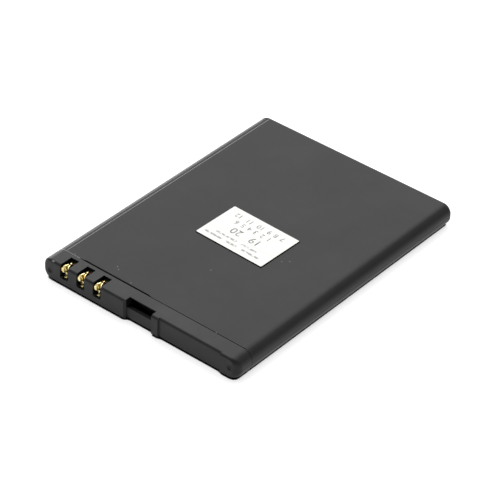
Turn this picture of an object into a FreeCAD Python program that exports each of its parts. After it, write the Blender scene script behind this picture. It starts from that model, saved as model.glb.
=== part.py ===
import FreeCAD, Part
import math
import os

os.makedirs("parts", exist_ok=True)
Vector = FreeCAD.Vector

# A flat removable phone battery, lying on its back. X runs across the short side,
# Y along the long side and Z up. The terminal end faces -Y, and the origin is at the
# middle of the underside. A depth is a distance behind the terminal end's front face,
# and a reach is a distance from the pack's left side.

# Overall pack
pack_width = 44.0
pack_length = 60.0
pack_thickness = 4.3
side_radius = 1.85
far_edge_radius = 0.8

# Film wrap
film_thickness = 0.10
film_step = 0.05
film_lap_reach = 2.05
film_rim_land = 0.02
seam_gap = 0.08
seam_gape = 0.28
seam_gape_far = 0.24
seam_gape_start = 5.6
seam_gape_end = 22.0
seam_gape_taper = 1.0

# Moulded terminal cap
cap_length = 3.75
front_top_radius = 0.45
front_bottom_radius = 0.7
front_left_radius = 0.85
front_right_radius = 1.4
cap_wall = 0.5
cap_side_wall = 1.5
cap_corner_radius = 0.4
seam_relief_width = 0.3
seam_relief_depth = 0.3

# Contact slots, open to the front and the top
slot_count = 3
slot_reach = 4.98
slot_pitch = 3.8
slot_width = 1.85
slot_depth = 2.93
slot_floor = 1.55
slot_corner_radius = 0.35

# Latch notch, its undercut pocket, the rib beside it and the shallow recess
notch_reach = 19.0
notch_width = 5.95
notch_setback = 0.6
notch_ease = 0.35
rib_width = 1.5
recess_inset = 3.9
recess_setback = 0.27
step_radius = 0.18
step_radius_share = 0.6
pocket_depth = 1.44
pocket_lip = 0.75
pocket_lip_height = 2.6
pocket_floor = 1.5
pocket_brow = 0.15
pocket_undercut = 1.15

# Small dimples in the front face near its two corners
left_dimple_reach = 1.75
left_dimple_height = 2.0
left_dimple_radius = 0.6
right_dimple_inset = 1.8
right_dimple_height = 2.3
right_dimple_radius = 0.58
dimple_depth = 0.25

# Cored pockets behind the front wall
core_wall = 1.2
core_share = 0.75
core_height = 2.6

# Spring contacts
contact_sheet = 0.15
contact_fit = 0.02
contact_pinch_half = 0.08
contact_mouth_half = 0.70
contact_mouth_depth = 0.25
contact_pinch_depth = 1.70
contact_top = 4.05
contact_head_bottom = 2.45
contact_head_back = 2.10
contact_head_radius = 0.75
contact_arm_bottom = 2.70
contact_arm_top = 3.80
contact_post_depth = 2.40
contact_neck_width = 0.50
contact_neck_shift = 0.15
contact_neck_depth = 0.75
contact_neck_top = 2.70
contact_toe_radius = 0.20

# Protection board
board_thickness = 0.6
board_height = 2.9
board_side_gap = 0.15
board_corner_radius = 0.3
board_seat_gap = 0.05

# Sealed cell
cell_depth = 5.0
lid_recess = 0.15
lid_rim = 0.35
vent_inset = 1.0
vent_width = 1.4
vent_radius = 0.68
vent_score = 0.06
vent_score_width = 0.12

# Negative terminal on the lid
terminal_hole_depth = 1.2
gasket_length = 6.0
gasket_height = 2.6
gasket_thickness = 0.25
gasket_sleeve_radius = 0.9
rivet_length = 4.4
rivet_height = 1.9
rivet_thickness = 0.2
rivet_shank_radius = 0.55
fill_plug_reach = 12.0
fill_plug_radius = 0.7
fill_plug_length = 0.5
fill_plug_chamfer = 0.15

# Lid insulation and the positive plate
insulator_thickness = 0.10
insulator_height = 3.0
insulator_plate_gap = 0.9
insulator_inset = 3.0
window_gap = 0.2
plate_start = 3.4
plate_length = 5.2
plate_height = 2.6
plate_thickness = 0.15

# Nickel tabs, the board's two pads and the thermal fuse
tab_thickness = 0.10
wide_tab_height = 2.2
narrow_tab_height = 1.76
positive_bend_offset = 0.2
rivet_weld_inset = 0.3
negative_foot_gap = 0.6
cutoff_weld_inset = 1.0
pad_weld_inset = 0.2
pad_thickness = 0.30
pad_length = 3.0
pad_height = 2.4
pad_positive_start = 4.4
pad_negative_inset = 5.8
cutoff_window_gap = 1.8
cutoff_pad_gap = 2.2
cutoff_height = 2.5
cutoff_thickness = 0.60
cutoff_edge_radius = 0.15
tape_overlap = 0.8
tape_thickness = 0.05
tape_height = 2.9
tape_corner_radius = 0.1

# Chips and small parts on the back of the board, sized as length, height, thickness
protection_chip_reach = 14.2
protection_chip_size = (2.9, 1.5, 0.95)
protection_chip_leads = 3
chip_standoff = 0.06
lead_sheet = 0.10
lead_bend_out = 0.30
lead_foot_out = 0.18
switch_reach = 17.9
switch_size = (2.0, 2.0, 0.75)
switch_chamfer = 0.25
first_row_reach = 9.4
second_row_reach = 11.3
row_rise = 0.6
bypass_switch_pitch = 2.3
resistor_size = (1.0, 0.5, 0.35)
filter_size = (1.0, 0.5, 0.5)
bypass_size = (0.6, 0.3, 0.3)
end_metal_share = 0.22
end_proud_share = 0.08

# Bottom cap and its adhesive
bottom_wall = 1.1
bottom_recess = 0.3
bottom_rim = 0.9
bottom_side_rim = 1.8
bottom_middle_rib = 0.9
adhesive_thickness = 0.12

# Paper sticker on the film
sticker_width = 15.1
sticker_height = 10.25
sticker_thickness = 0.12
sticker_corner_radius = 0.2
sticker_reach = 22.71
sticker_depth = 28.04
sticker_turn = -1.6

# How far a cutting shape runs past what it cuts, and how near counts as touching
overrun = 1.0
touch = 1e-6

# Places worked out from the sizes above
left_side = -pack_width / 2
front_face = -pack_length / 2
mid_height = pack_thickness / 2
along = Vector(0, 1, 0)
slot_reaches = [slot_reach + slot_pitch * number for number in range(slot_count)]
notch_end = notch_reach + notch_width
recess_start = notch_end + rib_width
recess_end = pack_width - recess_inset
seam_depth = cap_length - seam_gap
room_margin = cap_wall + film_thickness
room_ceiling = pack_thickness - room_margin
board_front = slot_depth + board_seat_gap
board_back = board_front + board_thickness
lid_depth = cell_depth + lid_recess
film_end = pack_length - far_edge_radius - film_rim_land
bottom_inside = pack_length - bottom_wall
cell_end = bottom_inside - adhesive_thickness
plate_front = lid_depth - plate_thickness
insulator_front = lid_depth - insulator_thickness
gasket_front = lid_depth - gasket_thickness
rivet_front = gasket_front - rivet_thickness
pad_back = board_back + pad_thickness
terminal_reach = pack_width / 2
window_end = terminal_reach + gasket_length / 2 + window_gap
insulator_start = plate_start + plate_length + insulator_plate_gap
insulator_end = pack_width - insulator_inset
pad_negative_start = pack_width - pad_negative_inset
cutoff_start = window_end + cutoff_window_gap
cutoff_end = pad_negative_start - cutoff_pad_gap
cutoff_back = insulator_front - tab_thickness
cutoff_front = cutoff_back - cutoff_thickness
cutoff_tab_front = cutoff_front - tab_thickness


def at(reach, depth, height):
    return Vector(left_side + reach, front_face + depth, height)


def block(reaches, depths, heights):
    # A plain box between two reaches, two depths and two heights.
    size = (reaches[1] - reaches[0], depths[1] - depths[0], heights[1] - heights[0])
    return Part.makeBox(*size, at(reaches[0], depths[0], heights[0]))


def pin(reach, depth, radius, length):
    # A round bar that runs along the pack at mid height.
    return Part.makeCylinder(radius, length, at(reach, depth, mid_height), along)


def fused(shapes):
    # One clean solid from several that touch or overlap.
    return shapes[0].multiFuse(shapes[1:]).removeSplitter()


def rounded_loop(low, high, radius, place):
    # A rectangle with round corners, drawn by place(first, second).
    (a0, b0), (a1, b1) = low, high
    inner = radius * (1 - math.sqrt(0.5))
    corners = [
        ((a1 - radius, b0), (a1 - inner, b0 + inner), (a1, b0 + radius)),
        ((a1, b1 - radius), (a1 - inner, b1 - inner), (a1 - radius, b1)),
        ((a0 + radius, b1), (a0 + inner, b1 - inner), (a0, b1 - radius)),
        ((a0, b0 + radius), (a0 + inner, b0 + inner), (a0 + radius, b0)),
    ]
    edges = []
    before = corners[-1][-1]
    for start, middle, end in corners:
        edges.append(Part.LineSegment(place(*before), place(*start)).toShape())
        edges.append(Part.Arc(place(*start), place(*middle), place(*end)).toShape())
        before = end
    return Part.Wire(edges)


def upright_slab(reaches, heights, radius, start, end):
    # A slab that stands across the pack, with round corners seen from the front.
    low = (reaches[0], heights[0])
    high = (reaches[1], heights[1])
    loop = rounded_loop(low, high, radius, lambda reach, height: at(reach, start, height))
    return Part.Face(loop).extrude(along * (end - start))


def pack_bar(inset, start, end):
    # A bar with the pack's own rounded section, drawn in by inset on every side.
    reaches = (inset, pack_width - inset)
    heights = (inset, pack_thickness - inset)
    return upright_slab(reaches, heights, side_radius - inset, start, end)


def centred(middle, size):
    return (middle - size / 2, middle + size / 2)


def round_front(shape, wanted_radius):
    # Rounds the whole front rim, with a radius that changes smoothly round it.
    rim = []
    for number, edge in enumerate(shape.Edges, 1):
        if edge.BoundBox.YMax < shape.BoundBox.YMin + touch:
            rim.append((number, edge.Vertexes[0].Point, edge.Vertexes[-1].Point))
    chain = [rim.pop(0)]
    while rim:
        tip = chain[-1][2]
        for entry in rim:
            number, start, end = entry
            if start.isEqual(tip, touch) or end.isEqual(tip, touch):
                ends = (start, end) if start.isEqual(tip, touch) else (end, start)
                chain.append((number, *ends))
                rim.remove(entry)
                break
    document = FreeCAD.newDocument("rounding")
    base = document.addObject("Part::Feature", "base")
    base.Shape = shape
    fillet = document.addObject("Part::Fillet", "fillet")
    fillet.Base = base
    fillet.Edges = [(number, wanted_radius(a), wanted_radius(b)) for number, a, b in chain]
    document.recompute()
    result = fillet.Shape.copy()
    FreeCAD.closeDocument(document.Name)
    return result


def front_radius_at(point):
    # The front rim is tight along the top and rounder at the sides and below.
    if point.x < left_side + touch:
        return front_left_radius
    if point.x > left_side + pack_width - touch:
        return front_right_radius
    return front_top_radius if point.z > mid_height else front_bottom_radius


def front_cut(start, end, setback):
    # Takes the front face back by setback between two reaches, with the same round rim.
    top = pack_thickness
    turn = 1 - math.sqrt(0.5)
    upper = front_top_radius
    lower = front_bottom_radius
    back = lower + overrun

    def side(depth, height):
        return at(start, depth + setback, height)

    def line(first, second):
        return Part.LineSegment(side(*first), side(*second)).toShape()

    def bend(first, middle, last):
        return Part.Arc(side(*first), side(*middle), side(*last)).toShape()

    kept_outline = [
        line((0, top - upper), (0, lower)),
        bend((0, lower), (lower * turn, lower * turn), (lower, 0)),
        line((lower, 0), (back, 0)),
        line((back, 0), (back, top)),
        line((back, top), (upper, top)),
        bend((upper, top), (upper * turn, top - upper * turn), (0, top - upper)),
    ]
    kept = Part.Face(Part.Wire(kept_outline)).extrude(Vector(end - start, 0, 0))
    waste = block((start, end), (-overrun, lower + setback), (-overrun, top + overrun))
    waste = waste.cut(kept)

    # The two upright inner corners are rounded too.
    radius = min(step_radius, setback * step_radius_share)
    for reach, inwards in ((start, 1), (end, -1)):
        middle = reach + inwards * radius
        corner = block(sorted((reach, middle)), (setback - radius, setback), (-overrun, top + overrun))
        post = Part.makeCylinder(radius, top + overrun * 2, at(middle, setback - radius, -overrun))
        waste = waste.cut(corner.cut(post))
    return waste


def dimple(reach, height, radius):
    # A shallow ball-nosed dimple in the front face.
    ball = (radius * radius + dimple_depth * dimple_depth) / (2 * dimple_depth)
    return Part.makeSphere(ball, at(reach, dimple_depth - ball, height))


def notch_shoulder():
    # A small flat that eases the notch's left shoulder.
    outline = [
        at(notch_reach - notch_ease, 0, -overrun),
        at(notch_reach, notch_ease, -overrun),
        at(notch_reach, -overrun, -overrun),
        at(notch_reach - notch_ease, -overrun, -overrun),
    ]
    section = Part.Face(Part.makePolygon(outline + outline[:1]))
    return section.extrude(Vector(0, 0, pack_thickness + overrun * 2))


def latch_pocket():
    # A well behind a low front lip, undercut so that the top wall overhangs it.
    top = pack_thickness + overrun
    lip_back = notch_setback + pocket_lip
    brow_edge = pack_thickness - pocket_brow
    well_back = pocket_depth + pocket_undercut
    outline = [
        at(notch_reach, -overrun, pocket_lip_height),
        at(notch_reach, lip_back, pocket_lip_height),
        at(notch_reach, lip_back, pocket_floor),
        at(notch_reach, well_back, pocket_floor),
        at(notch_reach, well_back, brow_edge - pocket_undercut),
        at(notch_reach, pocket_depth, brow_edge),
        at(notch_reach, pocket_depth, top),
        at(notch_reach, -overrun, top),
    ]
    section = Part.Face(Part.makePolygon(outline + outline[:1]))
    return section.extrude(Vector(notch_width, 0, 0))


def make_end_cap():
    top = pack_thickness + overrun
    shell = round_front(pack_bar(0, 0, seam_depth), front_radius_at)
    shell = shell.cut(front_cut(notch_reach, notch_end, notch_setback))
    shell = shell.cut(notch_shoulder())
    shell = shell.cut(front_cut(recess_start, recess_end, recess_setback))

    # The spigot that goes under the film, with a small relief at the seam.
    spigot = pack_bar(film_thickness, seam_depth, cell_depth)
    relief = pack_bar(0, seam_depth, seam_depth + seam_relief_width)
    relief = relief.cut(pack_bar(seam_relief_depth, 0, cell_depth))
    shell = fused([shell, spigot.cut(relief)])

    # The room for the board, open towards the cell.
    room_heights = (room_margin, room_ceiling)
    room_reaches = (cap_side_wall, pack_width - cap_side_wall)
    room_end = cell_depth + overrun
    room = upright_slab(room_reaches, room_heights, cap_corner_radius, board_front, room_end)
    shell = shell.cut(room)

    # The contact slots have round bottoms, and each is open through its back onto the board.
    for middle in slot_reaches:
        reaches = centred(middle, slot_width)
        radius = slot_corner_radius
        shell = shell.cut(upright_slab(reaches, (slot_floor, top), radius, -overrun, slot_depth))
        window = upright_slab(reaches, (slot_floor, room_ceiling), radius, 0, board_front)
        shell = shell.cut(window)
    shell = shell.cut(latch_pocket())

    # Cored pockets keep the front wall even where nothing shows.
    last_slot_edge = slot_reaches[-1] + slot_width / 2
    recess_middle = (recess_start + recess_end) / 2
    core_stretches = [
        (last_slot_edge, notch_reach),
        (recess_start, recess_middle),
        (recess_middle, recess_end),
    ]
    heights = centred(mid_height, core_height)
    for start, end in core_stretches:
        span = centred((start + end) / 2, (end - start) * core_share)
        shell = shell.cut(upright_slab(span, heights, cap_corner_radius, core_wall, board_back))

    shell = shell.cut(dimple(left_dimple_reach, left_dimple_height, left_dimple_radius))
    right_reach = pack_width - right_dimple_inset
    return shell.cut(dimple(right_reach, right_dimple_height, right_dimple_radius))


def make_wrap_label():
    # One turn of film. Its outer edge laps over the start of the turn on the top face,
    # so the skin left of the lap lies one step lower.
    top = pack_thickness
    low_top = top - film_step
    turn = side_radius * (1 - math.sqrt(0.5))
    right = pack_width

    def side(reach, height):
        return at(reach, cap_length, height)

    def line(first, second):
        return Part.LineSegment(side(*first), side(*second)).toShape()

    corners = [
        ((right - side_radius, top), (right - turn, top - turn), (right, top - side_radius)),
        ((right, side_radius), (right - turn, turn), (right - side_radius, 0)),
        ((side_radius, 0), (turn, turn), (0, side_radius)),
        ((0, top - side_radius), (turn, top - turn - film_step / 2), (side_radius, low_top)),
    ]
    edges = []
    before = (film_lap_reach, top)
    for start, middle, end in corners:
        edges.append(line(before, start))
        edges.append(Part.Arc(side(*start), side(*middle), side(*end)).toShape())
        before = end
    edges.append(line(before, (film_lap_reach, low_top)))
    edges.append(line((film_lap_reach, low_top), (film_lap_reach, top)))
    skin = Part.Face(Part.Wire(edges)).extrude(along * (film_end - cap_length))
    skin = skin.cut(pack_bar(film_thickness, seam_depth, pack_length))

    # The cut front edge gapes a little over part of its width.
    below = top - film_thickness * 2
    outline = [
        at(seam_gape_start, seam_depth, below),
        at(seam_gape_end, seam_depth, below),
        at(seam_gape_end, cap_length, below),
        at(seam_gape_end - seam_gape_taper, cap_length + seam_gape_far, below),
        at(seam_gape_start + seam_gape_taper, cap_length + seam_gape, below),
        at(seam_gape_start, cap_length, below),
    ]
    gape = Part.Face(Part.makePolygon(outline + outline[:1]))
    return skin.cut(gape.extrude(Vector(0, 0, overrun)))


def make_bottom_cap():
    # A shallow moulded tray whose rim shows past the end of the film.
    plate = pack_bar(0, film_end, pack_length)
    far_face = front_face + pack_length
    rim = [edge for edge in plate.Edges if edge.BoundBox.YMin > far_face - touch]
    plate = plate.makeFillet(far_edge_radius, rim)
    plate = fused([plate, pack_bar(film_thickness, bottom_inside, film_end)])
    reaches = (bottom_side_rim, pack_width - bottom_side_rim)
    heights = (bottom_rim, pack_thickness - bottom_rim)
    floor = bottom_inside + bottom_recess
    recess = upright_slab(reaches, heights, cap_corner_radius, cell_end, floor)
    rib = block(centred(pack_width / 2, bottom_middle_rib), (cell_end, floor), heights)
    return plate.cut(recess.cut(rib))


def make_end_adhesive():
    reaches = (bottom_rim, pack_width - bottom_rim)
    heights = (bottom_rim, pack_thickness - bottom_rim)
    return upright_slab(reaches, heights, cap_corner_radius, cell_end, bottom_inside)


def make_cell_can():
    can = pack_bar(film_thickness, cell_depth, cell_end)
    can = can.cut(pack_bar(film_thickness + lid_rim, 0, lid_depth))
    can = can.cut(pin(terminal_reach, lid_depth, gasket_sleeve_radius, terminal_hole_depth))
    can = can.cut(pin(fill_plug_reach, lid_depth, fill_plug_radius, fill_plug_length))

    # A scored oval on the lid opens if pressure builds up.
    start = lid_depth - vent_score
    floor = lid_depth + vent_score
    reaches = (cutoff_start + vent_inset, cutoff_end - vent_inset)
    heights = centred(mid_height, vent_width)
    outer = upright_slab(reaches, heights, vent_radius, start, floor)
    inner_reaches = (reaches[0] + vent_score_width, reaches[1] - vent_score_width)
    inner_heights = centred(mid_height, vent_width - vent_score_width * 2)
    inner = upright_slab(inner_reaches, inner_heights, vent_radius - vent_score_width, start, floor)
    return can.cut(outer.cut(inner))


def make_terminal_gasket():
    reaches = centred(terminal_reach, gasket_length)
    heights = centred(mid_height, gasket_height)
    flange = upright_slab(reaches, heights, cap_corner_radius, gasket_front, lid_depth)
    length = gasket_thickness + terminal_hole_depth
    sleeve = pin(terminal_reach, gasket_front, gasket_sleeve_radius, length)
    return fused([flange, sleeve]).cut(pin(terminal_reach, gasket_front, rivet_shank_radius, length))


def make_terminal_rivet():
    reaches = centred(terminal_reach, rivet_length)
    heights = centred(mid_height, rivet_height)
    head = upright_slab(reaches, heights, cap_corner_radius, rivet_front, gasket_front)
    length = lid_depth + terminal_hole_depth - rivet_front
    return fused([head, pin(terminal_reach, rivet_front, rivet_shank_radius, length)])


def make_fill_plug():
    plug = pin(fill_plug_reach, lid_depth, fill_plug_radius, fill_plug_length)
    rim = [edge for edge in plug.Edges if edge.BoundBox.YMax < plug.BoundBox.YMin + touch]
    return plug.makeChamfer(fill_plug_chamfer, rim)


def make_lid_insulator():
    # A sheet over the lid, with a window round the negative terminal.
    reaches = (insulator_start, insulator_end)
    heights = centred(mid_height, insulator_height)
    sheet = upright_slab(reaches, heights, cap_corner_radius, insulator_front, lid_depth)
    window_reaches = centred(terminal_reach, gasket_length + window_gap * 2)
    window_heights = centred(mid_height, gasket_height + window_gap)
    front = insulator_front - overrun
    window = upright_slab(window_reaches, window_heights, cap_corner_radius, front, lid_depth)
    return sheet.cut(window)


def make_positive_plate():
    reaches = (plate_start, plate_start + plate_length)
    heights = centred(mid_height, plate_height)
    return upright_slab(reaches, heights, cap_corner_radius, plate_front, lid_depth)


def joggle(start, end, start_back, end_back, heights):
    # A slanting stretch of tab between two levels.
    corners = [
        at(start, start_back, heights[0]),
        at(end, end_back, heights[0]),
        at(end, end_back - tab_thickness, heights[0]),
        at(start, start_back - tab_thickness, heights[0]),
    ]
    face = Part.Face(Part.makePolygon(corners + corners[:1]))
    return face.extrude(Vector(0, 0, heights[1] - heights[0]))


def make_positive_tab():
    # A folded tab: one limb on the lid's plate, one on the board's pad.
    heights = centred(mid_height, wide_tab_height)
    bend_reach = pad_positive_start - positive_bend_offset
    bend_radius = (plate_front - pad_back) / 2
    plate_reaches = (bend_reach, plate_start + plate_length)
    on_plate = block(plate_reaches, (plate_front - tab_thickness, plate_front), heights)
    pad_reaches = (bend_reach, pad_positive_start + pad_length)
    on_pad = block(pad_reaches, (pad_back, pad_back + tab_thickness), heights)
    axis = at(bend_reach, pad_back + bend_radius, heights[0])
    turn = Part.makeCylinder(bend_radius, wide_tab_height, axis)
    turn = turn.cut(Part.makeCylinder(bend_radius - tab_thickness, wide_tab_height, axis))
    turn = turn.common(block((0, bend_reach), (0, pack_length), (0, pack_thickness)))
    return fused([on_plate, turn, on_pad])


def make_negative_tab():
    # From the rivet's head down onto the insulator and under the thermal fuse.
    heights = centred(mid_height, narrow_tab_height)
    rivet_start, rivet_end = centred(terminal_reach, rivet_length)
    raised_span = (rivet_start + rivet_weld_inset, rivet_end)
    raised = block(raised_span, (rivet_front - tab_thickness, rivet_front), heights)
    foot = window_end + negative_foot_gap
    lying = block((foot, cutoff_end), (cutoff_back, insulator_front), heights)
    slope = joggle(rivet_end, foot, rivet_front, insulator_front, heights)
    return fused([raised, slope, lying])


def make_cutoff_tab():
    # From the front of the thermal fuse to the board's negative pad.
    heights = centred(mid_height, narrow_tab_height)
    fuse_span = (cutoff_start + cutoff_weld_inset, cutoff_end)
    on_fuse = block(fuse_span, (cutoff_tab_front, cutoff_front), heights)
    pad_start = pad_negative_start + pad_weld_inset
    pad_span = (pad_start, pad_negative_start + pad_length)
    on_pad = block(pad_span, (pad_back, pad_back + tab_thickness), heights)
    slope = joggle(cutoff_end, pad_start, cutoff_front, pad_back + tab_thickness, heights)
    return fused([on_fuse, slope, on_pad])


def make_thermal_cutoff():
    reaches = (cutoff_start, cutoff_end)
    heights = centred(mid_height, cutoff_height)
    return upright_slab(reaches, heights, cutoff_edge_radius, cutoff_front, cutoff_back)


def make_board_tape():
    # Tape across the front of the thermal fuse, over the tab on it.
    reaches = (cutoff_start - tape_overlap, cutoff_end - tape_overlap)
    heights = centred(mid_height, tape_height)
    front = cutoff_tab_front - tape_thickness
    return upright_slab(reaches, heights, tape_corner_radius, front, cutoff_tab_front)


def make_circuit_board():
    margin = cap_side_wall + board_side_gap
    reaches = (margin, pack_width - margin)
    heights = centred(mid_height, board_height)
    return upright_slab(reaches, heights, board_corner_radius, board_front, board_back)


def make_pad(start):
    heights = centred(mid_height, pad_height)
    return block((start, start + pad_length), (board_back, pad_back), heights)


def make_leaded_chip(reach, size, lead_count):
    # A moulded chip with bent leads above and below its body.
    length, height, thickness = size
    reaches = centred(reach, length)
    body_depths = (board_back + chip_standoff, board_back + thickness)
    shapes = [block(reaches, body_depths, centred(mid_height, height))]
    lead_width = length / (lead_count * 2)
    shoulder = board_back + thickness / 2
    for number in range(lead_count):
        span = centred(reaches[0] + lead_width * (2 * number + 1), lead_width)
        for side in (1, -1):
            root = mid_height + side * (height / 2 - lead_sheet)
            bend = mid_height + side * (height / 2 + lead_bend_out)
            tip = bend + side * lead_foot_out
            drop = bend - side * lead_sheet
            shapes.append(block(span, (shoulder, shoulder + lead_sheet), sorted((root, bend))))
            shapes.append(block(span, (board_back, shoulder + lead_sheet), sorted((drop, bend))))
            shapes.append(block(span, (board_back, board_back + lead_sheet), sorted((drop, tip))))
    return fused(shapes)


def make_flat_chip(reach, size):
    # A leadless switching chip with one chamfered edge to mark its first corner.
    length, height, thickness = size
    reaches = centred(reach, length)
    heights = centred(mid_height, height)
    body = block(reaches, (board_back, board_back + thickness), heights)
    corner = at(reaches[0], board_back, heights[1])
    marked = []
    for edge in body.Edges:
        box = edge.BoundBox
        if box.XMax < corner.x + touch and box.ZMin > corner.z - touch:
            marked.append(edge)
    return body.makeChamfer(switch_chamfer, marked)


def make_end_component(reach, rise, size):
    # A chip resistor or capacitor with metal ends slightly proud of its body.
    length, height, thickness = size
    proud = thickness * end_proud_share
    heights = centred(mid_height + rise, height)
    grown = (heights[0] - proud, heights[1] + proud)
    body_depths = (board_back + proud, board_back + thickness - proud)
    shapes = [block(centred(reach, length), body_depths, heights)]
    for side in (-1, 1):
        outer = reach + side * length / 2
        inner = outer - side * length * end_metal_share
        depths = (board_back, board_back + thickness)
        shapes.append(block(sorted((inner, outer)), depths, grown))
    return fused(shapes)


def make_contact(middle):
    # A fork contact: two bowed leaves come together at the pinch and flare at the mouth,
    # joined by a back plate on the board. A narrow sole runs forward from the plate and
    # turns up into a neck, with a rounded toe at the bend.
    bottom = slot_floor + contact_fit
    plate_bottom = slot_floor + slot_corner_radius
    plate_top = room_ceiling - slot_corner_radius
    arm_end = slot_depth - contact_fit
    flare = contact_mouth_half - contact_pinch_half
    run = contact_pinch_depth - contact_mouth_depth
    bow_radius = (flare * flare + run * run) / (2 * flare)

    # Seen from the side, a leaf has a round head, a narrower arm and a post on the board.
    wide = centred(middle, slot_width - contact_fit * 2)
    low = (contact_mouth_depth, contact_head_bottom)
    high = (contact_head_back, contact_top)
    loop = rounded_loop(low, high, contact_head_radius, lambda depth, z: at(wide[0], depth, z))
    head = Part.Face(loop).extrude(Vector(wide[1] - wide[0], 0, 0))
    arm_heights = (contact_arm_bottom, contact_arm_top)
    arm = block(wide, (contact_pinch_depth, arm_end), arm_heights)
    post = block(wide, (contact_post_depth, board_front), (plate_bottom, plate_top))
    outline = fused([head, arm, post])
    leaves = []
    for side in (-1, 1):
        bow_reach = middle + side * (contact_pinch_half + bow_radius)
        axis = at(bow_reach, contact_pinch_depth, 0)
        bow = Part.makeCylinder(bow_radius, pack_thickness, axis)
        bow = bow.cut(Part.makeCylinder(bow_radius - contact_sheet, pack_thickness, axis))
        leaves.append(bow.common(outline))

    narrow = centred(middle - contact_neck_shift, contact_neck_width)
    plate_depths = (board_front - contact_sheet, board_front)
    plate = block(wide, plate_depths, (plate_bottom, plate_top))
    stem = block(narrow, plate_depths, (bottom, plate_top))
    sole = block(narrow, (contact_neck_depth, board_front), (bottom, bottom + contact_sheet))
    neck_depths = (contact_neck_depth, contact_neck_depth + contact_sheet)
    neck = block(narrow, neck_depths, (bottom, contact_neck_top))
    toe_start = at(narrow[0], contact_neck_depth, bottom)
    toe = Part.makeCylinder(contact_toe_radius, contact_neck_width, toe_start, Vector(1, 0, 0))
    toe = toe.common(block(narrow, (0, pack_length), (bottom, pack_thickness)))
    return fused([plate, stem, sole, neck, toe] + leaves)


def make_date_sticker():
    low = (-sticker_width / 2, -sticker_height / 2)
    high = (sticker_width / 2, sticker_height / 2)
    loop = rounded_loop(low, high, sticker_corner_radius, lambda x, y: Vector(x, y, 0))
    paper = Part.Face(loop).extrude(Vector(0, 0, sticker_thickness))
    paper.rotate(Vector(0, 0, 0), Vector(0, 0, 1), sticker_turn)
    paper.translate(at(sticker_reach, sticker_depth, pack_thickness))
    return paper


def save(name, shape):
    solids = shape.Solids
    if len(solids) != 1 or not solids[0].isValid():
        print("check", name, len(solids), "solids")
    solids[0].exportStep("parts/" + name + ".step")
    print(name, round(solids[0].Volume, 3), "mm3")


# Outside of the pack
save("end_cap", make_end_cap())
save("wrap_label", make_wrap_label())
save("date_sticker", make_date_sticker())
save("bottom_cap", make_bottom_cap())
save("end_adhesive", make_end_adhesive())
for name, reach in zip(("contact_positive", "contact_sense", "contact_negative"), slot_reaches):
    save(name, make_contact(reach))

# Cell, its terminals and the tabs to the board
save("cell_can", make_cell_can())
save("terminal_gasket", make_terminal_gasket())
save("terminal_rivet", make_terminal_rivet())
save("fill_plug", make_fill_plug())
save("lid_insulator", make_lid_insulator())
save("positive_plate", make_positive_plate())
save("positive_tab", make_positive_tab())
save("negative_tab", make_negative_tab())
save("cutoff_tab", make_cutoff_tab())
save("thermal_cutoff", make_thermal_cutoff())
save("board_tape", make_board_tape())

# Board and what is soldered to it
save("circuit_board", make_circuit_board())
save("pad_positive", make_pad(pad_positive_start))
save("pad_negative", make_pad(pad_negative_start))
chip_reach = protection_chip_reach
save("protection_chip", make_leaded_chip(chip_reach, protection_chip_size, protection_chip_leads))
save("switch_transistor", make_flat_chip(switch_reach, switch_size))
save("identity_resistor", make_end_component(first_row_reach, row_rise, resistor_size))
save("supply_resistor", make_end_component(first_row_reach, -row_rise, resistor_size))
save("sense_resistor", make_end_component(second_row_reach, row_rise, resistor_size))
save("filter_capacitor", make_end_component(second_row_reach, -row_rise, filter_size))
bypass_reach = switch_reach + bypass_switch_pitch
save("bypass_capacitor", make_end_component(bypass_reach, 0, bypass_size))
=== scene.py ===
import math

import bpy
from mathutils import Matrix, Vector


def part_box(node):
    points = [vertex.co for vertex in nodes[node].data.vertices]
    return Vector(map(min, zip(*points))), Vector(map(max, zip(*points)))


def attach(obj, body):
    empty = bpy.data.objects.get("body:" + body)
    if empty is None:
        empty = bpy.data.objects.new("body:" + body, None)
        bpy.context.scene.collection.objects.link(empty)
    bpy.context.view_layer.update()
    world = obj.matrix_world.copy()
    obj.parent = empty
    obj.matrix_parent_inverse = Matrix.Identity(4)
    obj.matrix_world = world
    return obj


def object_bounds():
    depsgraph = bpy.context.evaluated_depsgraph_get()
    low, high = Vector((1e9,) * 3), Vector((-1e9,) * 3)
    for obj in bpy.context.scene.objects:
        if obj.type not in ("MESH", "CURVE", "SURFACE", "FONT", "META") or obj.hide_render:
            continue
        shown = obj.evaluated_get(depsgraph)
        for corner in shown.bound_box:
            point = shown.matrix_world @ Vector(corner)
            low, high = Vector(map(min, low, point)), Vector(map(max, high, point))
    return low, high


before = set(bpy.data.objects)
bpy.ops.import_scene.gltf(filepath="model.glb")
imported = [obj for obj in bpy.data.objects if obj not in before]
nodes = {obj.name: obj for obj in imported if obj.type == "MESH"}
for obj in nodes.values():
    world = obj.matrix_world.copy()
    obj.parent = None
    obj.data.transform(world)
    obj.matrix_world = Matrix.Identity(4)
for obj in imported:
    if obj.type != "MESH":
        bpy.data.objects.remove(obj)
cadLow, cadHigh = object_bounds()
mm = 0.001


def linearColour(hexText, alpha=1.0):
    # sRGB hex as read off the object, turned to linear for the shaders
    channels = [int(hexText[i:i + 2], 16) / 255 for i in (1, 3, 5)]
    turned = [c / 12.92 if c <= 0.04045 else ((c + 0.055) / 1.055) ** 2.4 for c in channels]
    return (*turned, alpha)


def addNode(tree, kind, settings=None, inputs=None):
    # One node with its settings; an input is a value or another node's output
    node = tree.nodes.new(kind)
    for name, value in (settings or {}).items():
        setattr(node, name, value)
    for name, value in (inputs or {}).items():
        if isinstance(value, bpy.types.NodeSocket):
            tree.links.new(value, node.inputs[name])
        else:
            node.inputs[name].default_value = value
    return node


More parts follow.
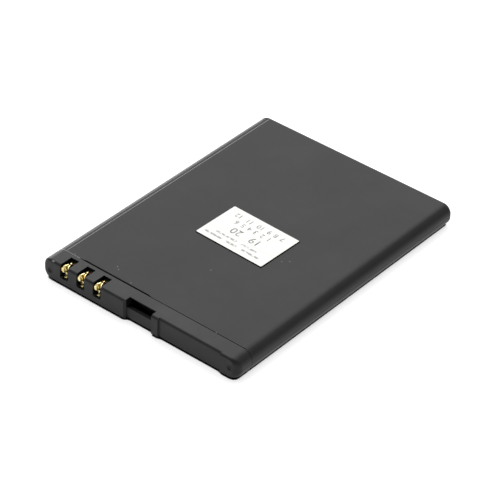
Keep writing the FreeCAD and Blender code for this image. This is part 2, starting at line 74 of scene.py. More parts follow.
def newMaterial(name):
    # An empty material with its shader joined to the output
    material = bpy.data.materials.new(name)
    material.use_nodes = True
    tree = material.node_tree
    tree.nodes.clear()
    shader = addNode(tree, "ShaderNodeBsdfPrincipled")
    addNode(tree, "ShaderNodeOutputMaterial", inputs={"Surface": shader.outputs["BSDF"]})
    coordinates = addNode(tree, "ShaderNodeTexCoord")
    return material, tree, shader, coordinates.outputs["Object"]


def feed(tree, shader, outputs):
    # Joins node outputs to the shader's sockets
    for name, output in outputs.items():
        tree.links.new(output, shader.inputs[name])


def dress(nodeNames, material):
    # A CAD node keeps its mesh and takes a finished material
    for name in nodeNames:
        for slot in nodes[name].material_slots:
            slot.material = material


def onlySelect(piece):
    bpy.ops.object.select_all(action="DESELECT")
    piece.select_set(True)
    bpy.context.view_layer.objects.active = piece


# Where the sticker lies, which the painted shadow on the film follows too
stickerSettings = {
    "paper": "#ecece8",
    "ink": "#77777a",
    "paintedShade": "#0c0c0c",  # painted shade on the lower part of the sticker's edges
    "paintedShadeHeight": 0.09,
    "turn": -1.6,
    "size": (15.1, 10.25),
    "roughness": 0.62,
    "gloss": 0.4,
    "fibreSize": 0.5,
    "fibreStrength": 0.2,
    "fibreDepth": 0.01,
    "dividerHeight": -1.68,
    "dividerHalf": 0.05,
    "dividerShade": 0.22,
    "rules": (  # height, start and end of each run of small print
        (-2.62, -5.0, -0.3), (-2.62, 0.8, 4.3),
        (-3.76, -6.6, -2.8), (-3.76, -1.85, 0.85), (-3.76, 1.9, 5.8)),
    "ruleThickness": 0.46,
    "dashSize": 0.6,
    "dashRange": (0.38, 0.52),
    "dashShade": 0.70,
}
stickerLow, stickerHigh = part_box("date_sticker")
stickerMiddle = (stickerLow + stickerHigh) / 2

# Film wrap: black polyester film with a matte face, laid round the can in one turn
filmSettings = {
    "colour": "#1f1f20",
    "worn": "#252526",  # where handling has rubbed the matte face a little lighter
    "paintedEdgeHighlight": "#aba5a8",  # painted highlight along the film's cut edges
    "paintedShade": "#040404",  # painted shade along the front edge's gap, and painted shadow beside the sticker
    "stickerShadowReach": 0.22,  # how far the painted shadow reaches beside the sticker
    "lint": "#6a6866",
    "lintPlaces": (
        (-5.5, -25.6), (14.1, -26.2), (9.8, -3.65), (10.8, -2.7),
        (2.25, -13.7), (-18.2, -25.9), (-10.3, -23.7), (-9.6, -24.2)),
    "lintRadius": 0.16,
    "lintCore": 0.4,  # share of the radius that is fully pale
    "roughness": 0.34,
    "roughnessSpread": (-0.04, 0.05),
    "gloss": 0.16,  # a matting agent keeps the film's sheen low
    "mottleSize": 9.0,
    "wornRange": (0.40, 0.70),
    "rippleStrength": 0.10,
    "rippleDepth": 0.05,
    "grainSize": 0.32,  # real grain is about 0.05 mm, drawn coarser so that it shows
    "grainStrength": 0.25,
    "grainDepth": 0.012,
    "edgeWidth": 0.06,
    "lapReach": 2.05,
    "paleReach": 5.4,  # left of this the front edge has the painted highlight, right of it the painted shade
}
filmLow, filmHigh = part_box("wrap_label")
film, tree, shader, place = newMaterial("mattePolyesterFilmCast")
mottle = addNode(tree, "ShaderNodeTexNoise", inputs={
    "Vector": place, "Scale": 1 / (filmSettings["mottleSize"] * mm),
    "Detail": 3.0, "Roughness": 0.55})
grain = addNode(tree, "ShaderNodeTexNoise", inputs={
    "Vector": place, "Scale": 1 / (filmSettings["grainSize"] * mm),
    "Detail": 2.0, "Roughness": 0.6})
worn = addNode(tree, "ShaderNodeMapRange", inputs={
    "Value": mottle.outputs["Fac"],
    "From Min": filmSettings["wornRange"][0], "From Max": filmSettings["wornRange"][1]})
base = addNode(tree, "ShaderNodeMix", {"data_type": "RGBA"}, {
    0: worn.outputs["Result"],
    6: linearColour(filmSettings["colour"]), 7: linearColour(filmSettings["worn"])})

# A few bits of lint lie on the top face
lint = None
for across, along in filmSettings["lintPlaces"]:
    away = addNode(tree, "ShaderNodeVectorMath", {"operation": "DISTANCE"}, {
        0: place, 1: (across * mm, along * mm, filmHigh.z)})
    dot = addNode(tree, "ShaderNodeMapRange", inputs={
        "Value": away.outputs["Value"],
        "From Min": filmSettings["lintRadius"] * mm,
        "From Max": filmSettings["lintRadius"] * filmSettings["lintCore"] * mm})
    if lint:
        dot = addNode(tree, "ShaderNodeMath", {"operation": "MAXIMUM"}, {
            0: lint, 1: dot.outputs["Result"]})
    lint = dot.outputs[0]

# Painted highlights on the cut edges: the front edge, and the lap's edge on the top face
spot = addNode(tree, "ShaderNodeSeparateXYZ", inputs={"Vector": place})
atFront = addNode(tree, "ShaderNodeMath", {"operation": "LESS_THAN"}, {
    0: spot.outputs["Y"], 1: filmLow.y + filmSettings["edgeWidth"] * mm})
atLeft = addNode(tree, "ShaderNodeMath", {"operation": "LESS_THAN"}, {
    0: spot.outputs["X"], 1: filmLow.x + filmSettings["paleReach"] * mm})
nearFront = addNode(tree, "ShaderNodeMath", {"operation": "MULTIPLY"}, {
    0: atFront.outputs["Value"], 1: atLeft.outputs["Value"]})
lapX = filmLow.x + filmSettings["lapReach"] * mm
nearLap = addNode(tree, "ShaderNodeMath", {"operation": "COMPARE"}, {
    0: spot.outputs["X"], 1: lapX, 2: filmSettings["edgeWidth"] * mm})
onTop = addNode(tree, "ShaderNodeMath", {"operation": "GREATER_THAN"}, {
    0: spot.outputs["Z"], 1: filmHigh.z - filmSettings["edgeWidth"] * mm})
lapEdge = addNode(tree, "ShaderNodeMath", {"operation": "MULTIPLY"}, {
    0: nearLap.outputs["Value"], 1: onTop.outputs["Value"]})
paintedEdgeHighlights = addNode(tree, "ShaderNodeMath", {"operation": "MAXIMUM"}, {
    0: nearFront.outputs["Value"], 1: lapEdge.outputs["Value"]})

# Painted shade on the rest of the front edge, and painted shadow beside the sticker's near edges,
# with the sheen taken away there
nudge = filmSettings["stickerShadowReach"] / 2
level = addNode(tree, "ShaderNodeMapping", {"vector_type": "TEXTURE"}, {
    "Vector": place, "Location": stickerMiddle + Vector((nudge, -nudge, 0.0)) * mm,
    "Rotation": (0.0, 0.0, math.radians(stickerSettings["turn"]))})
beside = addNode(tree, "ShaderNodeSeparateXYZ", inputs={"Vector": level.outputs["Vector"]})
inside = []
for side, length in zip("XY", stickerSettings["size"]):
    inside.append(addNode(tree, "ShaderNodeMath", {"operation": "COMPARE"}, {
        0: beside.outputs[side], 1: 0.0, 2: (length / 2 + nudge) * mm}))
under = addNode(tree, "ShaderNodeMath", {"operation": "MULTIPLY"}, {
    0: inside[0].outputs["Value"], 1: inside[1].outputs["Value"]})
paintedShadePlaces = addNode(tree, "ShaderNodeMath", {"operation": "MAXIMUM"}, {
    0: atFront.outputs["Value"], 1: under.outputs["Value"]})
paintedShadeMask = addNode(tree, "ShaderNodeMath", {"operation": "MULTIPLY"}, {
    0: paintedShadePlaces.outputs["Value"], 1: onTop.outputs["Value"]})
paintedShaded = addNode(tree, "ShaderNodeMix", {"data_type": "RGBA"}, {
    0: paintedShadeMask.outputs["Value"], 6: base.outputs[2], 7: linearColour(filmSettings["paintedShade"])})
sheen = addNode(tree, "ShaderNodeMapRange", inputs={
    "Value": paintedShadeMask.outputs["Value"], "To Min": filmSettings["gloss"], "To Max": 0.0})
dusty = addNode(tree, "ShaderNodeMix", {"data_type": "RGBA"}, {
    0: lint, 6: paintedShaded.outputs[2], 7: linearColour(filmSettings["lint"])})
edged = addNode(tree, "ShaderNodeMix", {"data_type": "RGBA"}, {
    0: paintedEdgeHighlights.outputs["Value"], 6: dusty.outputs[2], 7: linearColour(filmSettings["paintedEdgeHighlight"])})
roughness = addNode(tree, "ShaderNodeMapRange", inputs={
    "Value": grain.outputs["Fac"],
    "To Min": filmSettings["roughness"] + filmSettings["roughnessSpread"][0],
    "To Max": filmSettings["roughness"] + filmSettings["roughnessSpread"][1]})
ripple = addNode(tree, "ShaderNodeBump", inputs={
    "Height": mottle.outputs["Fac"], "Strength": filmSettings["rippleStrength"],
    "Distance": filmSettings["rippleDepth"] * mm})
skin = addNode(tree, "ShaderNodeBump", inputs={
    "Height": grain.outputs["Fac"], "Strength": filmSettings["grainStrength"],
    "Distance": filmSettings["grainDepth"] * mm, "Normal": ripple.outputs["Normal"]})
feed(tree, shader, {
    "Base Color": edged.outputs[2], "Roughness": roughness.outputs["Result"],
    "Normal": skin.outputs["Normal"], "Specular IOR Level": sheen.outputs["Result"]})
dress(["wrap_label"], film)
print("film dressed")

# End caps: black polycarbonate, moulded in a spark-eroded tool, so evenly satin
mouldingSettings = {
    "colour": "#1b1b1c",
    "polished": "#232325",  # rubbed places
    "roughness": 0.40,
    "roughnessSpread": 0.06,
    "gloss": 0.22,
    "grainSize": 0.28,  # real texture is about 0.08 mm, drawn coarser so that it shows
    "grainStrength": 0.35,
    "grainDepth": 0.014,
    "flowSize": 5.0,
    "polishedRange": (0.42, 0.75),
    "recessShade": "#070506",  # painted shade deep in the slots and the notch
    "recessShadeReach": 1.5,
    "recessShadeRange": (0.45, 0.72),  # how open a place is where the painted shade is full and where it ends
    "cornerHighlight": "#8d8b88",  # painted highlight on the cap's front left corner
    "cornerHighlightPlace": (-19.62, -29.80, 4.12),
    "cornerHighlightReach": (0.48, 0.16, 0.20),
    "cornerHighlightCore": 0.5,
}
moulding, tree, shader, place = newMaterial("blackPolycarbonateMoulded")
flow = addNode(tree, "ShaderNodeTexNoise", inputs={
    "Vector": place, "Scale": 1 / (mouldingSettings["flowSize"] * mm),
    "Detail": 4.0, "Roughness": 0.6})
grain = addNode(tree, "ShaderNodeTexNoise", inputs={
    "Vector": place, "Scale": 1 / (mouldingSettings["grainSize"] * mm),
    "Detail": 3.0, "Roughness": 0.65})
polished = addNode(tree, "ShaderNodeMapRange", inputs={
    "Value": flow.outputs["Fac"],
    "From Min": mouldingSettings["polishedRange"][0],
    "From Max": mouldingSettings["polishedRange"][1]})
base = addNode(tree, "ShaderNodeMix", {"data_type": "RGBA"}, {
    0: polished.outputs["Result"],
    6: linearColour(mouldingSettings["colour"]), 7: linearColour(mouldingSettings["polished"])})
# A painted highlight on the cap's front left corner
fromCornerHighlight = addNode(tree, "ShaderNodeMapping", {"vector_type": "TEXTURE"}, {
    "Vector": place, "Location": Vector(mouldingSettings["cornerHighlightPlace"]) * mm,
    "Scale": Vector(mouldingSettings["cornerHighlightReach"]) * mm})
away = addNode(tree, "ShaderNodeVectorMath", {"operation": "LENGTH"}, {
    0: fromCornerHighlight.outputs["Vector"]})
cornerHighlighted = addNode(tree, "ShaderNodeMapRange", inputs={
    "Value": away.outputs["Value"],
    "From Min": 1.0, "From Max": mouldingSettings["cornerHighlightCore"]})
base = addNode(tree, "ShaderNodeMix", {"data_type": "RGBA"}, {
    0: cornerHighlighted.outputs["Result"], 6: base.outputs[2], 7: linearColour(mouldingSettings["cornerHighlight"])})
# Painted shade in the hollows: the more closed in a place is, the darker it is and the less sheen
# it has
openness = addNode(tree, "ShaderNodeAmbientOcclusion", inputs={
    "Distance": mouldingSettings["recessShadeReach"] * mm})
outsideRecessShade = addNode(tree, "ShaderNodeMapRange", inputs={
    "Value": openness.outputs["AO"],
    "From Min": mouldingSettings["recessShadeRange"][0], "From Max": mouldingSettings["recessShadeRange"][1]})
base = addNode(tree, "ShaderNodeMix", {"data_type": "RGBA"}, {
    0: outsideRecessShade.outputs["Result"], 6: linearColour(mouldingSettings["recessShade"]), 7: base.outputs[2]})
sheen = addNode(tree, "ShaderNodeMath", {"operation": "MULTIPLY"}, {
    0: outsideRecessShade.outputs["Result"], 1: mouldingSettings["gloss"]})
roughness = addNode(tree, "ShaderNodeMapRange", inputs={
    "Value": flow.outputs["Fac"],
    "To Min": mouldingSettings["roughness"] + mouldingSettings["roughnessSpread"],
    "To Max": mouldingSettings["roughness"] - mouldingSettings["roughnessSpread"]})
skin = addNode(tree, "ShaderNodeBump", inputs={
    "Height": grain.outputs["Fac"], "Strength": mouldingSettings["grainStrength"],
    "Distance": mouldingSettings["grainDepth"] * mm})
feed(tree, shader, {
    "Base Color": base.outputs[2], "Roughness": roughness.outputs["Result"],
    "Normal": skin.outputs["Normal"], "Specular IOR Level": sheen.outputs["Value"]})
dress(["end_cap", "bottom_cap"], moulding)
print("mouldings dressed")

# Contacts: spring bronze sheet, stamped and gold plated, so bright with warm shades
goldSettings = {
    "colour": "#fff6bc",
    "thin": "#dab04e",  # thinner plating over the copper alloy
    "headDarkReflection": "#64501c",  # painted dark reflection in the middle of each head
    "headDarkReflectionRadius": 0.55,
    "headDarkReflectionCore": 0.4,
    "headDarkReflectionPlace": (0.40, -29.10, 3.25),  # measured across from the middle of a slot
    "rearShade": "#3a2512",  # painted shade on the leaves behind the pinch
    "rearShadeStart": -28.75,
    "rearShadeFade": 0.3,
    "unshadedMiddle": -27.96,  # the painted shade stays off the left leaf for a short way
    "unshadedReach": 0.20,
    "slotMiddle": -13.22,
    "slotPitch": 3.8,
    "patchSize": 0.30,
    "thinRange": (0.45, 0.68),
    "roughness": 0.19,
    "roughnessSpread": (-0.06, 0.10),
    "lineSize": 0.05,  # marks of rolling, which run up the sheet
    "lineStretch": (1.0, 1.0, 0.15),
    "lineStrength": 0.3,
    "lineDepth": 0.006,
}
gold, tree, shader, place = newMaterial("springBronzeGoldPlated")
patches = addNode(tree, "ShaderNodeTexNoise", inputs={
    "Vector": place, "Scale": 1 / (goldSettings["patchSize"] * mm),
    "Detail": 3.0, "Roughness": 0.55})
thinned = addNode(tree, "ShaderNodeMapRange", inputs={
    "Value": patches.outputs["Fac"],
    "From Min": goldSettings["thinRange"][0], "From Max": goldSettings["thinRange"][1]})
base = addNode(tree, "ShaderNodeMix", {"data_type": "RGBA"}, {
    0: thinned.outputs["Result"],
    6: linearColour(goldSettings["colour"]), 7: linearColour(goldSettings["thin"])})

# The three contacts get the same painted dark reflection, so X is measured from the middle of its
# own slot
spot = addNode(tree, "ShaderNodeSeparateXYZ", inputs={"Vector": place})
fromMiddle = addNode(tree, "ShaderNodeMath", {"operation": "SUBTRACT"}, {
    0: spot.outputs["X"], 1: goldSettings["slotMiddle"] * mm})
inSlot = addNode(tree, "ShaderNodeMath", {"operation": "WRAP"}, {
    0: fromMiddle.outputs["Value"],
    1: goldSettings["slotPitch"] / 2 * mm, 2: -goldSettings["slotPitch"] / 2 * mm})
folded = addNode(tree, "ShaderNodeCombineXYZ", inputs={
    "X": inSlot.outputs["Value"], "Y": spot.outputs["Y"], "Z": spot.outputs["Z"]})
away = addNode(tree, "ShaderNodeVectorMath", {"operation": "DISTANCE"}, {
    0: folded.outputs["Vector"], 1: Vector(goldSettings["headDarkReflectionPlace"]) * mm})
headDarkReflection = addNode(tree, "ShaderNodeMapRange", inputs={
    "Value": away.outputs["Value"],
    "From Min": goldSettings["headDarkReflectionRadius"] * mm,
    "From Max": goldSettings["headDarkReflectionRadius"] * goldSettings["headDarkReflectionCore"] * mm})
base = addNode(tree, "ShaderNodeMix", {"data_type": "RGBA"}, {
    0: headDarkReflection.outputs["Result"], 6: base.outputs[2], 7: linearColour(goldSettings["headDarkReflection"])})
# Painted shade behind the pinch, kept off the left leaf for a short way
behind = addNode(tree, "ShaderNodeMapRange", inputs={
    "Value": spot.outputs["Y"],
    "From Min": goldSettings["rearShadeStart"] * mm,
    "From Max": (goldSettings["rearShadeStart"] + goldSettings["rearShadeFade"]) * mm})
leftLeaf = addNode(tree, "ShaderNodeMath", {"operation": "LESS_THAN"}, {
    0: inSlot.outputs["Value"], 1: 0.0})
shortWay = addNode(tree, "ShaderNodeMath", {"operation": "COMPARE"}, {
    0: spot.outputs["Y"], 1: goldSettings["unshadedMiddle"] * mm, 2: goldSettings["unshadedReach"] * mm})
leftUnshaded = addNode(tree, "ShaderNodeMath", {"operation": "MULTIPLY"}, {
    0: leftLeaf.outputs["Value"], 1: shortWay.outputs["Value"]})
rearShaded = addNode(tree, "ShaderNodeMath", {"operation": "SUBTRACT", "use_clamp": True}, {
    0: behind.outputs["Result"], 1: leftUnshaded.outputs["Value"]})
base = addNode(tree, "ShaderNodeMix", {"data_type": "RGBA"}, {
    0: rearShaded.outputs["Value"], 6: base.outputs[2], 7: linearColour(goldSettings["rearShade"])})

stretch = addNode(tree, "ShaderNodeMapping", {"vector_type": "POINT"}, {
    "Vector": place, "Scale": goldSettings["lineStretch"]})
lines = addNode(tree, "ShaderNodeTexNoise", inputs={
    "Vector": stretch.outputs["Vector"], "Scale": 1 / (goldSettings["lineSize"] * mm),
    "Detail": 2.0})
roughness = addNode(tree, "ShaderNodeMapRange", inputs={
    "Value": lines.outputs["Fac"],
    "To Min": goldSettings["roughness"] + goldSettings["roughnessSpread"][0],
    "To Max": goldSettings["roughness"] + goldSettings["roughnessSpread"][1]})
skin = addNode(tree, "ShaderNodeBump", inputs={
    "Height": lines.outputs["Fac"], "Strength": goldSettings["lineStrength"],
    "Distance": goldSettings["lineDepth"] * mm})
feed(tree, shader, {
    "Base Color": base.outputs[2], "Roughness": roughness.outputs["Result"],
    "Normal": skin.outputs["Normal"]})
shader.inputs["Metallic"].default_value = 1.0
dress(["contact_positive", "contact_sense", "contact_negative"], gold)
print("contacts dressed")

# Date sticker: coated label paper, printed in grey with plain numbers and ruled lines
paper, tree, shader, place = newMaterial("labelPaperCoated")
level = addNode(tree, "ShaderNodeMapping", {"vector_type": "TEXTURE"}, {
    "Vector": place, "Location": tuple(stickerMiddle),
    "Rotation": (0.0, 0.0, math.radians(stickerSettings["turn"]))})
spot = addNode(tree, "ShaderNodeSeparateXYZ", inputs={"Vector": level.outputs["Vector"]})
fibres = addNode(tree, "ShaderNodeTexNoise", inputs={
    "Vector": place, "Scale": 1 / (stickerSettings["fibreSize"] * mm), "Detail": 4.0})
divider = addNode(tree, "ShaderNodeMath", {"operation": "COMPARE"}, {
    0: spot.outputs["Y"], 1: stickerSettings["dividerHeight"] * mm,
    2: stickerSettings["dividerHalf"] * mm})
printed = addNode(tree, "ShaderNodeMath", {"operation": "MULTIPLY"}, {
    0: divider.outputs["Value"], 1: stickerSettings["dividerShade"]})

# Two ruled lines of short dashes stand for the small print
dashes = addNode(tree, "ShaderNodeTexNoise", inputs={
    "Vector": level.outputs["Vector"], "Scale": 1 / (stickerSettings["dashSize"] * mm),
    "Detail": 3.0})
dashed = addNode(tree, "ShaderNodeMapRange", inputs={
    "Value": dashes.outputs["Fac"],
    "From Min": stickerSettings["dashRange"][0], "From Max": stickerSettings["dashRange"][1],
    "To Max": stickerSettings["dashShade"]})
for height, start, end in stickerSettings["rules"]:
    inRow = addNode(tree, "ShaderNodeMath", {"operation": "COMPARE"}, {
        0: spot.outputs["Y"], 1: height * mm, 2: stickerSettings["ruleThickness"] / 2 * mm})
    inReach = addNode(tree, "ShaderNodeMath", {"operation": "COMPARE"}, {
        0: spot.outputs["X"], 1: (start + end) / 2 * mm, 2: (end - start) / 2 * mm})
    inRule = addNode(tree, "ShaderNodeMath", {"operation": "MULTIPLY"}, {
        0: inRow.outputs["Value"], 1: inReach.outputs["Value"]})
    ruled = addNode(tree, "ShaderNodeMath", {"operation": "MULTIPLY"}, {
        0: inRule.outputs["Value"], 1: dashed.outputs["Result"]})
    printed = addNode(tree, "ShaderNodeMath", {"operation": "MAXIMUM"}, {
        0: printed.outputs["Value"], 1: ruled.outputs["Value"]})
base = addNode(tree, "ShaderNodeMix", {"data_type": "RGBA"}, {
    0: printed.outputs["Value"],
    6: linearColour(stickerSettings["paper"]), 7: linearColour(stickerSettings["ink"])})
# Painted shade on the lower part of the sticker's edges, with the sheen taken away there
heights = addNode(tree, "ShaderNodeSeparateXYZ", inputs={"Vector": place})
low = addNode(tree, "ShaderNodeMath", {"operation": "LESS_THAN"}, {
    0: heights.outputs["Z"], 1: stickerLow.z + stickerSettings["paintedShadeHeight"] * mm})
paintedShaded = addNode(tree, "ShaderNodeMix", {"data_type": "RGBA"}, {
    0: low.outputs["Value"], 6: base.outputs[2], 7: linearColour(stickerSettings["paintedShade"])})
sheen = addNode(tree, "ShaderNodeMapRange", inputs={
    "Value": low.outputs["Value"], "To Min": stickerSettings["gloss"], "To Max": 0.0})
skin = addNode(tree, "ShaderNodeBump", inputs={
    "Height": fibres.outputs["Fac"], "Strength": stickerSettings["fibreStrength"],
    "Distance": stickerSettings["fibreDepth"] * mm})
feed(tree, shader, {
    "Base Color": paintedShaded.outputs[2], "Normal": skin.outputs["Normal"],
    "Specular IOR Level": sheen.outputs["Result"]})
shader.inputs["Roughness"].default_value = stickerSettings["roughness"]
dress(["date_sticker"], paper)
print("sticker dressed")

# Numbers printed on the sticker, read from the far side, so turned half round
numberSettings = {
    "small": 1.55,  # type size of the month rows
    "large": 2.4,  # type size of the two years
    "inkDepth": 0.004,
    "curveSteps": 3,
    "ink": "#4c4847",
    "faintInk": "#98989a",
    "toneSize": 1.1,
    "toneRange": (0.38, 0.62),
    "roughness": 0.7,
    "months": (
        ("7", 5.15, 3.45), ("8", 3.63, 3.45), ("9", 2.15, 3.45),
        ("10", 0.10, 3.45), ("11", -2.45, 3.45), ("12", -5.00, 3.45),
        ("1", 3.43, 1.75), ("2", 1.93, 1.75), ("3", 0.35, 1.75),
        ("4", -1.05, 1.75), ("5", -2.50, 1.75), ("6", -4.02, 1.75),
    ),
    "years": (("19", 2.15, -0.42), ("20", -2.15, -0.42)),
}
ink, tree, shader, place = newMaterial("printingInkGrey")
tone = addNode(tree, "ShaderNodeTexNoise", inputs={
    "Vector": place, "Scale": 1 / (numberSettings["toneSize"] * mm), "Detail": 3.0})
uneven = addNode(tree, "ShaderNodeMapRange", inputs={
    "Value": tone.outputs["Fac"],
    "From Min": numberSettings["toneRange"][0], "From Max": numberSettings["toneRange"][1]})
shade = addNode(tree, "ShaderNodeMix", {"data_type": "RGBA"}, {
    0: uneven.outputs["Result"],
    6: linearColour(numberSettings["ink"]), 7: linearColour(numberSettings["faintInk"])})
feed(tree, shader, {"Base Color": shade.outputs[2]})
shader.inputs["Roughness"].default_value = numberSettings["roughness"]

turn = math.radians(stickerSettings["turn"])
marks = []
for rows, size in ((numberSettings["months"], numberSettings["small"]),
                   (numberSettings["years"], numberSettings["large"])):
    for text, across, up in rows:
        offset = Vector((across * mm, up * mm, 0.0))
        offset.rotate(Matrix.Rotation(turn, 3, "Z"))
        printPlace = Vector((stickerMiddle.x, stickerMiddle.y, stickerHigh.z)) + offset
        bpy.ops.object.select_all(action="DESELECT")
        bpy.ops.object.text_add(location=printPlace, rotation=(0.0, 0.0, turn + math.pi))
        mark = bpy.context.object
        mark.data.body = text
        mark.data.size = size * mm
        mark.data.align_x = "CENTER"
        mark.data.align_y = "CENTER"
        mark.data.extrude = numberSettings["inkDepth"] * mm
        mark.data.resolution_u = numberSettings["curveSteps"]
        bpy.ops.object.convert(target="MESH")
        marks.append(bpy.context.object)
onlySelect(marks[0])
for mark in marks:
    mark.select_set(True)
bpy.ops.object.join()
numbers = bpy.context.object
bpy.ops.object.transform_apply(location=True, rotation=True, scale=True)
numbers.name = "sticker_numbers"
numbers.data.materials.clear()
numbers.data.materials.append(ink)
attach(numbers, "root")
print("numbers printed")

# Pieces inside the sealed pack, each with the finish that its kind has
insideSettings = {
    "aluminiumDeepDrawn": {
        "nodes": ["cell_can", "fill_plug", "positive_plate"],
        "colour": "#c9cacc", "shade": "#b1b3b6",
        "metallic": 1.0, "roughness": 0.34, "size": 1.2, "stretch": (1.0, 0.08, 1.0)},
    "nickelRolled": {
        "nodes": ["terminal_rivet", "positive_tab", "negative_tab", "cutoff_tab",
                  "pad_positive", "pad_negative"],
        "colour": "#b9b3a8", "shade": "#9c968b",
        "metallic": 1.0, "roughness": 0.30, "size": 0.25, "stretch": (0.06, 1.0, 1.0)},
    "polypropyleneMoulded": {
        "nodes": ["terminal_gasket"],
        "colour": "#e2e1dc", "shade": "#d3d2cc",
        "metallic": 0.0, "roughness": 0.42, "size": 0.8, "stretch": (1.0, 1.0, 1.0)},
    "barrierPaperCalendered": {
        "nodes": ["lid_insulator"],
        "colour": "#e6e1d2", "shade": "#d6cfbb",
        "metallic": 0.0, "roughness": 0.75, "size": 0.5, "stretch": (0.4, 1.0, 1.0)},
    "phenolicMoulded": {
        "nodes": ["thermal_cutoff", "protection_chip", "switch_transistor"],
        "colour": "#232325", "shade": "#2e2e30",
        "metallic": 0.0, "roughness": 0.55, "size": 0.2, "stretch": (1.0, 1.0, 1.0)},
    "polyimideTape": {
        "nodes": ["board_tape"],
        "colour": "#b5701f", "shade": "#9a5a14",
        "metallic": 0.0, "roughness": 0.25, "size": 1.5, "stretch": (0.3, 1.0, 1.0)},
    "boardLaminateMasked": {
        "nodes": ["circuit_board"],
        "colour": "#134a26", "shade": "#1b5c33",
        "metallic": 0.0, "roughness": 0.30, "size": 0.35, "stretch": (1.0, 1.0, 1.0)},
    "resistorGlazed": {
        "nodes": ["identity_resistor", "supply_resistor", "sense_resistor"],
        "colour": "#1d1d20", "shade": "#2a2a2d",
        "metallic": 0.0, "roughness": 0.28, "size": 0.15, "stretch": (1.0, 1.0, 1.0)},
    "ceramicFired": {
        "nodes": ["filter_capacitor", "bypass_capacitor"],
        "colour": "#a5835c", "shade": "#8d6d49",
        "metallic": 0.0, "roughness": 0.60, "size": 0.1, "stretch": (1.0, 1.0, 1.0)},
    "acrylicFoamTape": {
        "nodes": ["end_adhesive"],
        "colour": "#d8d6cd", "shade": "#c6c3b8",
        "metallic": 0.0, "roughness": 0.85, "size": 0.25, "stretch": (1.0, 1.0, 1.0)},
}
insideSkin = {"roughnessSpread": (-0.05, 0.08), "strength": 0.3, "depth": 0.01}
for name, finish in insideSettings.items():
    material, tree, shader, place = newMaterial(name)
    stretch = addNode(tree, "ShaderNodeMapping", {"vector_type": "POINT"}, {
        "Vector": place, "Scale": finish["stretch"]})
    pattern = addNode(tree, "ShaderNodeTexNoise", inputs={
        "Vector": stretch.outputs["Vector"], "Scale": 1 / (finish["size"] * mm),
        "Detail": 4.0})
    base = addNode(tree, "ShaderNodeMix", {"data_type": "RGBA"}, {
        0: pattern.outputs["Fac"],
        6: linearColour(finish["colour"]), 7: linearColour(finish["shade"])})
    roughness = addNode(tree, "ShaderNodeMapRange", inputs={
        "Value": pattern.outputs["Fac"],
        "To Min": finish["roughness"] + insideSkin["roughnessSpread"][0],
        "To Max": finish["roughness"] + insideSkin["roughnessSpread"][1]})
    skin = addNode(tree, "ShaderNodeBump", inputs={
        "Height": pattern.outputs["Fac"], "Strength": insideSkin["strength"],
        "Distance": insideSkin["depth"] * mm})
    feed(tree, shader, {
        "Base Color": base.outputs[2], "Roughness": roughness.outputs["Result"],
        "Normal": skin.outputs["Normal"]})
    shader.inputs["Metallic"].default_value = finish["metallic"]
    dress(finish["nodes"], material)
print("inside pieces dressed")

# Floor: white studio card
floorSettings = {
    "colour": "#cfcfcf",
    "fleck": "#cccccc",
    "fleckSize": 25.0,
    "roughness": 0.9,
    "gloss": 0.1,
    "lift": 0.62,
    "size": 6.0,
    "below": 0.02,  # keeps the card clear of the underside
    "contact": "#050505",  # painted contact shadow where the pack touches the card
    "contactReach": 0.6,
    "contactRange": (0.48, 0.60),  # how open a place is where the painted shadow line is full and ends
}
bpy.ops.object.select_all(action="DESELECT")
bpy.ops.mesh.primitive_plane_add(
    size=floorSettings["size"], location=(0.0, 0.0, cadLow.z - floorSettings["below"] * mm))
floor = bpy.context.object
floor.name = "studio_floor"
card, tree, shader, place = newMaterial("studioCardWhite")
fleck = addNode(tree, "ShaderNodeTexNoise", inputs={
    "Vector": place, "Scale": 1 / (floorSettings["fleckSize"] * mm), "Detail": 2.0})
base = addNode(tree, "ShaderNodeMix", {"data_type": "RGBA"}, {
    0: fleck.outputs["Fac"],
    6: linearColour(floorSettings["colour"]), 7: linearColour(floorSettings["fleck"])})
# A painted contact shadow: where the pack closes the card in, the card turns dark and loses its
# lift
openness = addNode(tree, "ShaderNodeAmbientOcclusion", inputs={
    "Distance": floorSettings["contactReach"] * mm})
clear = addNode(tree, "ShaderNodeMapRange", inputs={
    "Value": openness.outputs["AO"],
    "From Min": floorSettings["contactRange"][0], "From Max": floorSettings["contactRange"][1]})
contactShaded = addNode(tree, "ShaderNodeMix", {"data_type": "RGBA"}, {
    0: clear.outputs["Result"], 6: linearColour(floorSettings["contact"]), 7: base.outputs[2]})
feed(tree, shader, {"Base Color": contactShaded.outputs[2]})
shader.inputs["Roughness"].default_value = floorSettings["roughness"]
shader.inputs["Specular IOR Level"].default_value = floorSettings["gloss"]

# Seen straight on or in a shiny face the card is lifted towards white, and keeps its shadow
rays = addNode(tree, "ShaderNodeLightPath")
seen = addNode(tree, "ShaderNodeMath", {"operation": "MAXIMUM"}, {
    0: rays.outputs["Is Camera Ray"], 1: rays.outputs["Is Glossy Ray"]})
seenToo = addNode(tree, "ShaderNodeMath", {"operation": "MAXIMUM"}, {
    0: seen.outputs["Value"], 1: rays.outputs["Is Transmission Ray"]})
lifted = addNode(tree, "ShaderNodeMath", {"operation": "MULTIPLY"}, {
    0: seenToo.outputs["Value"], 1: floorSettings["lift"]})
whitened = addNode(tree, "ShaderNodeMath", {"operation": "MULTIPLY"}, {
    0: lifted.outputs["Value"], 1: clear.outputs["Result"]})
glow = addNode(tree, "ShaderNodeEmission", inputs={"Strength": whitened.outputs["Value"]})
output = next(node for node in tree.nodes if node.type == "OUTPUT_MATERIAL")
both = addNode(tree, "ShaderNodeAddShader", inputs={
    0: shader.outputs["BSDF"], 1: glow.outputs["Emission"]})
tree.links.new(both.outputs["Shader"], output.inputs["Surface"])
floor.data.materials.append(card)

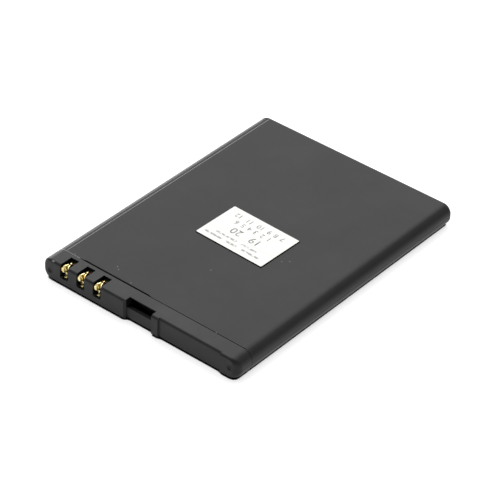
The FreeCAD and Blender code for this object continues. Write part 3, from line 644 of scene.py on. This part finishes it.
# Light: a pale studio, brighter behind and to the left, dimmer behind the camera
lightSettings = {
    "dim": 0.40,
    "bright": 0.95,
    "towards": (-0.45, 0.60, 0.66),
    "sweep": (-0.35, 0.85),
    "colour": "#ffffff",
    "lampDistance": 1.2,
    "lamps": (  # name, power, size and way from the pack
        ("softBox", 8.6, 1.3, (-0.35, 0.45, 0.82)),
        ("rimStrip", 3.6, 0.6, (-0.86, 0.48, 0.17))),
}
world = bpy.data.worlds.new("paleStudio")
bpy.context.scene.world = world
world.use_nodes = True
tree = world.node_tree
tree.nodes.clear()
way = addNode(tree, "ShaderNodeTexCoord")
facing = addNode(tree, "ShaderNodeVectorMath", {"operation": "DOT_PRODUCT"}, {
    0: way.outputs["Generated"], 1: lightSettings["towards"]})
glow = addNode(tree, "ShaderNodeMapRange", {"interpolation_type": "SMOOTHSTEP"}, {
    "Value": facing.outputs["Value"],
    "From Min": lightSettings["sweep"][0], "From Max": lightSettings["sweep"][1],
    "To Min": lightSettings["dim"], "To Max": lightSettings["bright"]})
sky = addNode(tree, "ShaderNodeBackground", inputs={
    "Color": linearColour(lightSettings["colour"]), "Strength": glow.outputs["Result"]})
addNode(tree, "ShaderNodeOutputWorld", inputs={"Surface": sky.outputs["Background"]})

for name, power, size, towards in lightSettings["lamps"]:
    lampWay = Vector(towards).normalized()
    bpy.ops.object.select_all(action="DESELECT")
    bpy.ops.object.light_add(type="AREA", location=lampWay * lightSettings["lampDistance"])
    lamp = bpy.context.object
    lamp.name = name
    lamp.data.shape = "DISK"
    lamp.data.size = size
    lamp.data.energy = power
    lamp.rotation_euler = lampWay.to_track_quat("Z", "Y").to_euler()
print("studio lit")

# Camera: the photograph's long lens, from the front right and above
cameraSettings = {
    "place": (221.278, -279.896, 265.192),
    "azimuth": 38.352,
    "elevation": 36.632,
    "roll": 2.268,
    "lens": 181.1,
    "sensor": 36.0,
    "clip": (0.01, 50.0),
}
bpy.ops.object.camera_add(location=[value * mm for value in cameraSettings["place"]])
camera = bpy.context.object
turned = Matrix.Rotation(math.radians(cameraSettings["azimuth"]), 3, "Z")
turned @= Matrix.Rotation(math.radians(90 - cameraSettings["elevation"]), 3, "X")
turned @= Matrix.Rotation(math.radians(cameraSettings["roll"]), 3, "Z")
camera.rotation_euler = turned.to_euler()
camera.data.sensor_width = cameraSettings["sensor"]
camera.data.lens = cameraSettings["lens"]
camera.data.clip_start, camera.data.clip_end = cameraSettings["clip"]
bpy.context.scene.camera = camera
bpy.context.scene.view_settings.view_transform = "Standard"
print("camera placed")
